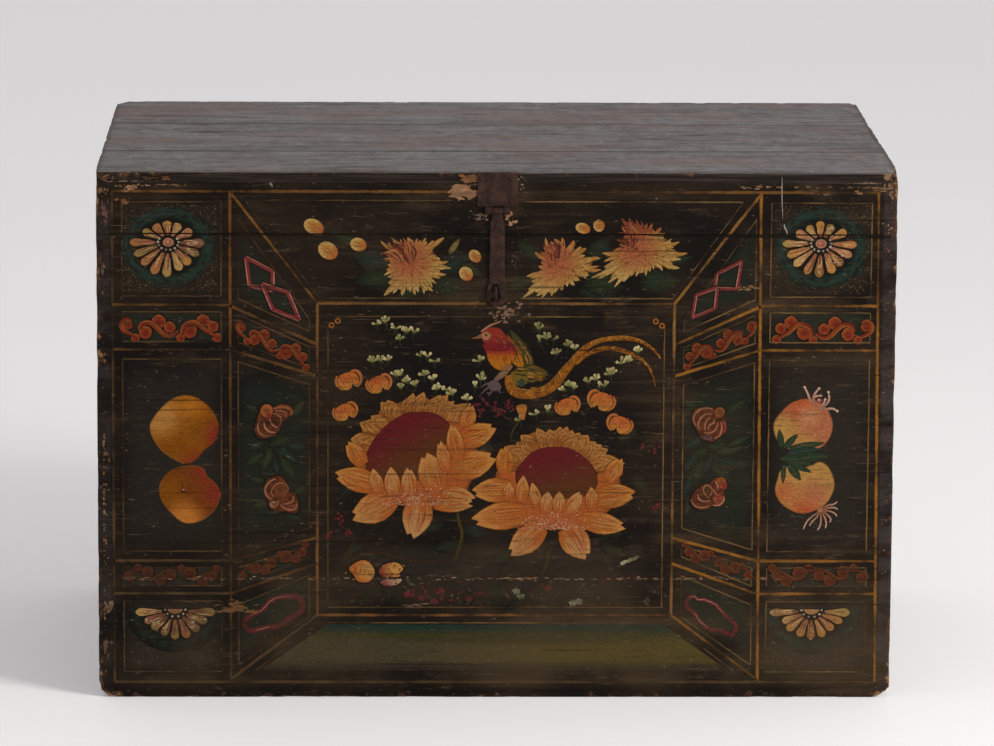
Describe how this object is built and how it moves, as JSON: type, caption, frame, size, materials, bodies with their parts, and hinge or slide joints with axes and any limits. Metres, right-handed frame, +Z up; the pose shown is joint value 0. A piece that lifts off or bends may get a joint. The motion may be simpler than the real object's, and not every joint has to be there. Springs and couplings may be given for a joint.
{
  "type": "painted wooden storage chest",
  "caption": "Rectangular plank storage chest with a lifting flat lid, dovetailed corners, iron butt hinges at the back and an iron hasp and keeper staple on its painted front.",
  "frame": {"origin": "on the floor, under the middle of the whole part, with the hasp and staple counted", "axes": "+X to the viewer's right as one faces the painted front, +Y to the back, +Z up"},
  "size_m": [0.9, 0.594, 0.605],
  "materials": {
    "painted_wood": "old dark brown lacquer with worn painted decoration",
    "back_wood": "thin dark wash, worn",
    "lid_top_wood": "grey-brown worn paint over bare grain",
    "bare_wood": "unfinished softwood, darkened with age",
    "bamboo": "plain bamboo",
    "iron": "hand-wrought, browned and lightly rusted"
  },
  "bodies": {
    "box": {"front_board_lower": "painted_wood", "front_board_middle": "painted_wood", "front_board_upper": "painted_wood", "left_end_board_lower": "painted_wood", "left_end_board_middle": "painted_wood", "left_end_board_upper": "painted_wood", "right_end_board_lower": "painted_wood", "right_end_board_middle": "painted_wood", "right_end_board_upper": "painted_wood", "back_board_lower": "back_wood", "back_board_middle": "back_wood", "back_board_upper": "back_wood", "bottom_board_front": "bare_wood", "bottom_board_middle": "bare_wood", "bottom_board_rear": "bare_wood", "bottom_batten_left": "bare_wood", "bottom_batten_right": "bare_wood", "box_edge_pegs": "bamboo", "hinge_left_box_leaf": "iron", "hinge_left_pin": "iron", "hinge_right_box_leaf": "iron", "hinge_right_pin": "iron", "box_hinge_nails": "iron", "bottom_batten_nails": "iron", "keeper_staple": "iron"},
    "lid": {"lid_front_rail": "painted_wood", "lid_back_rail": "back_wood", "lid_left_rail": "painted_wood", "lid_right_rail": "painted_wood", "lid_board_front": "lid_top_wood", "lid_board_middle": "lid_top_wood", "lid_board_rear": "lid_top_wood", "lid_batten_left": "bare_wood", "lid_batten_right": "bare_wood", "lid_edge_pegs": "bamboo", "lid_board_pegs": "bamboo", "hinge_left_lid_leaf": "iron", "hinge_right_lid_leaf": "iron", "lid_hinge_nails": "iron", "hasp_plate": "iron", "hasp_plate_nails": "iron", "hasp_pin": "iron"},
    "hasp": {"hasp_strap": "iron", "hasp_rivet": "iron"}
  },
  "joints": [
    {"name": "lid_hinge", "type": "hinge", "parent": "box", "child": "lid", "pos_m": [0, 0.292, 0.534], "axis": [-1, 0, 0], "range_deg": [0, 105]},
    {"name": "hasp_swing", "type": "hinge", "parent": "lid", "child": "hasp", "pos_m": [0, -0.287, 0.561], "axis": [-1, 0, 0], "range_deg": [0, 180]}
  ]
}
